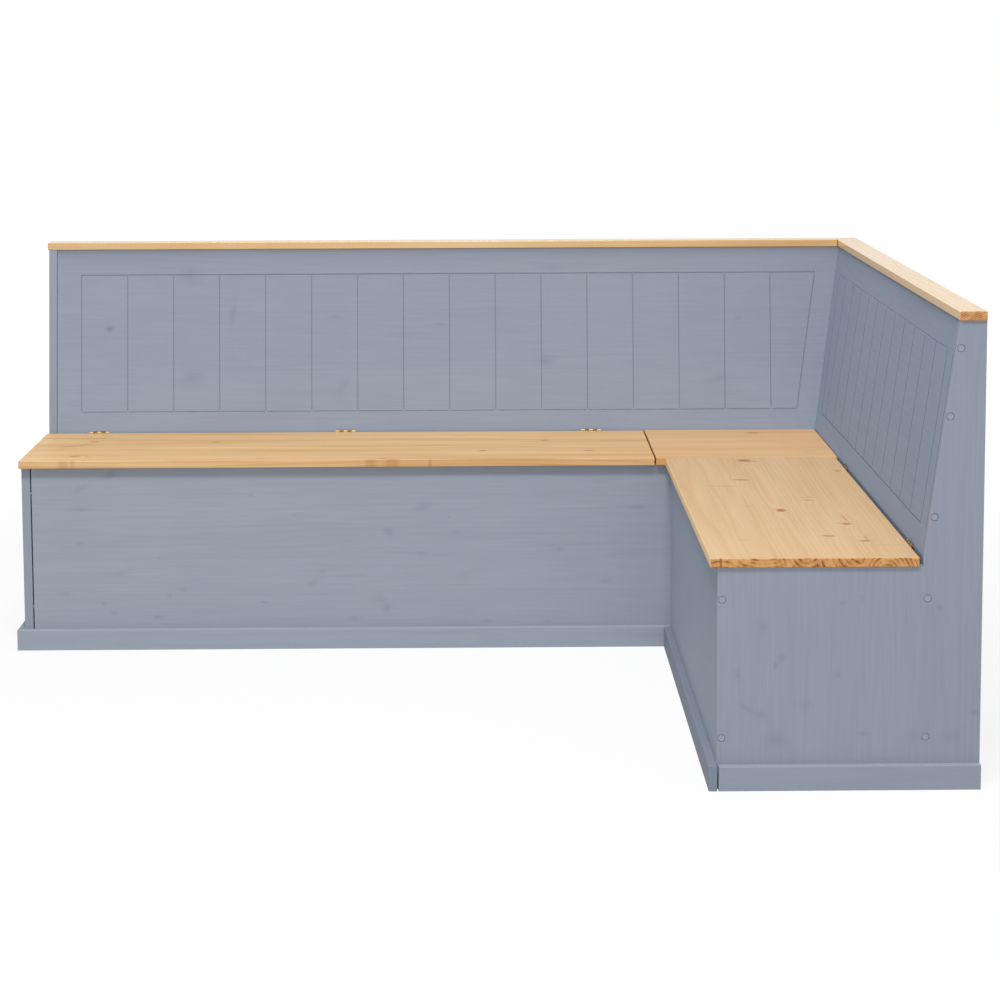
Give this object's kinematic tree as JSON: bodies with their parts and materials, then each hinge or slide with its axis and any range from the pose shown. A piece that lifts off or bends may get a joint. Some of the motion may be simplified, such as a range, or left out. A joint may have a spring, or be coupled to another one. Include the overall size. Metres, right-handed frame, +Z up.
{
  "type": "corner storage bench",
  "caption": "L-shaped corner bench with leaning grooved backrests, top rails, plinths and hinged seat lids over storage chests, beside a fixed corner seat.",
  "frame": {"origin": "centre of the footprint's box, on the floor", "axes": "+X along the long leg towards the corner, +Y towards the back wall, +Z up"},
  "size_m": [2.041, 1.636, 0.92],
  "materials": {
    "painted_pine": "satin grey-blue paint, pine grain showing through",
    "clear_pine": "clear waxed edge-glued pine",
    "raw_pine": "untreated pine",
    "brass": "satin yellow brass",
    "screw_steel": "zinc plated",
    "painted_cap": "matte cap in the paint's colour"
  },
  "bodies": {
    "bench": {"left_end_panel": "painted_pine", "right_end_panel": "painted_pine", "left_connecting_screws": "screw_steel", "right_connecting_screws": "screw_steel", "left_cover_caps": "painted_cap", "right_cover_caps": "painted_cap", "long_front_panel": "painted_pine", "short_front_panel": "painted_pine", "long_box_back": "painted_pine", "short_box_back": "painted_pine", "long_backrest": "painted_pine", "short_backrest": "painted_pine", "long_foot_dowels": "raw_pine", "long_rail_dowels": "raw_pine", "short_foot_dowels": "raw_pine", "short_rail_dowels": "raw_pine", "long_top_rail": "clear_pine", "short_top_rail": "clear_pine", "long_divider": "painted_pine", "short_divider": "painted_pine", "long_chest_floor": "raw_pine", "long_floor_battens": "raw_pine", "short_chest_floor": "raw_pine", "short_floor_battens": "raw_pine", "corner_seat": "clear_pine", "corner_batten_long": "raw_pine", "corner_batten_short": "raw_pine", "long_front_plinth": "painted_pine", "short_front_plinth": "painted_pine", "left_end_plinth": "painted_pine", "right_end_plinth": "painted_pine", "long_hinge_1_fixed_leaf": "brass", "long_hinge_1_pin": "brass", "long_hinge_2_fixed_leaf": "brass", "long_hinge_2_pin": "brass", "long_hinge_3_fixed_leaf": "brass", "long_hinge_3_pin": "brass", "long_hinge_fixed_screws": "brass", "short_hinge_1_fixed_leaf": "brass", "short_hinge_1_pin": "brass", "short_hinge_2_fixed_leaf": "brass", "short_hinge_2_pin": "brass", "short_hinge_fixed_screws": "brass"},
    "long_seat": {"long_lid": "clear_pine", "long_hinge_1_lid_leaf": "brass", "long_hinge_2_lid_leaf": "brass", "long_hinge_3_lid_leaf": "brass", "long_hinge_lid_screws": "brass"},
    "short_seat": {"short_lid": "clear_pine", "short_hinge_1_lid_leaf": "brass", "short_hinge_2_lid_leaf": "brass", "short_hinge_lid_screws": "brass"}
  },
  "joints": [
    {"name": "long_lid_hinge", "type": "hinge", "parent": "bench", "child": "long_seat", "pos_m": [-0.2657, 0.70075, 0.4505], "axis": [-1, 0, 0], "range_deg": [0, 98]},
    {"name": "short_lid_hinge", "type": "hinge", "parent": "bench", "child": "short_seat", "pos_m": [0.90325, -0.254, 0.4505], "axis": [0, 1, 0], "range_deg": [0, 98]}
  ]
}
